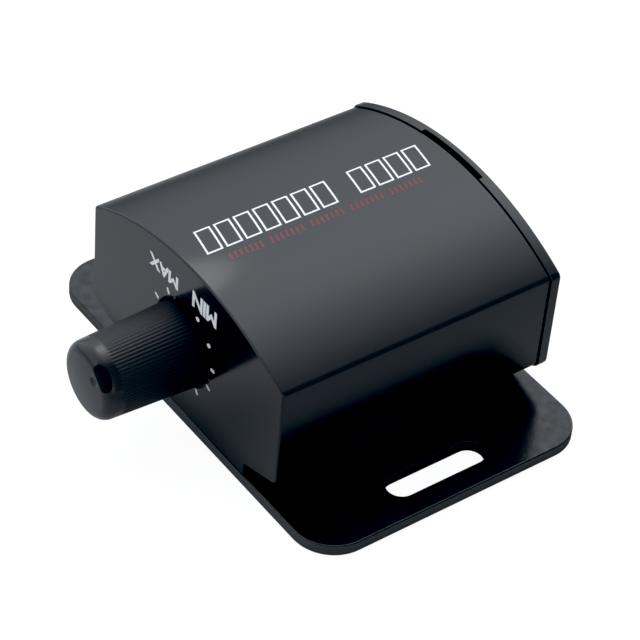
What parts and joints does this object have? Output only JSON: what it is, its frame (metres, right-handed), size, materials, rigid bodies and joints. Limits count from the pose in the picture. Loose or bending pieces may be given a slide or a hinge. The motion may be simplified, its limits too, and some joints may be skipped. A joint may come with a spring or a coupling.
{
  "type": "wired remote level control",
  "caption": "Arched black control box on a flat mounting plate with slotted ears, a ribbed rotary level knob on the front and a modular jack behind.",
  "frame": {"origin": "centre of the mounting plate's flat mounting face, which is the underside in this frame", "axes": "+X to the right seen from the knob, +Y from the knob towards the jack, +Z from the mounting face towards the crown of the housing"},
  "size_m": [0.0742, 0.0689, 0.0315],
  "materials": {
    "housing_plastic": "semi-gloss moulded black",
    "plate_coating": "semi-gloss black coating on steel",
    "knob_plastic": "satin moulded black",
    "shaft_aluminium": "turned",
    "plated_steel": "bright zinc",
    "contact_bronze": "gold-flashed spring strip",
    "board_laminate": "green solder mask",
    "element_phenolic": "brown laminate",
    "rotor_plastic": "grey moulded",
    "jack_plastic": "satin moulded black"
  },
  "bodies": {
    "casing": {"base_plate": "plate_coating", "housing_shell": "housing_plastic", "rear_cap": "housing_plastic", "pot_bushing": "plated_steel", "pot_washer": "plated_steel", "pot_nut": "plated_steel", "pot_case": "jack_plastic", "pot_element": "element_phenolic", "circuit_board": "board_laminate", "jack_housing": "jack_plastic", "pot_terminal_1": "plated_steel", "pot_terminal_2": "plated_steel", "pot_terminal_3": "plated_steel", "jack_contact_1": "contact_bronze", "base_screw_1": "plated_steel", "board_screw_1": "plated_steel", "jack_contact_2": "contact_bronze", "base_screw_2": "plated_steel", "board_screw_2": "plated_steel", "jack_contact_3": "contact_bronze", "base_screw_3": "plated_steel", "board_screw_3": "plated_steel", "jack_contact_4": "contact_bronze", "base_screw_4": "plated_steel", "board_screw_4": "plated_steel"},
    "level_knob": {"knob": "knob_plastic", "pot_shaft": "shaft_aluminium", "pot_rotor": "rotor_plastic", "pot_wiper": "contact_bronze"}
  },
  "joints": [
    {"name": "level_turn", "type": "hinge", "parent": "casing", "child": "level_knob", "pos_m": [0, -0.0257, 0.01575], "axis": [0, 1, 0], "range_deg": [-16, 284]}
  ]
}
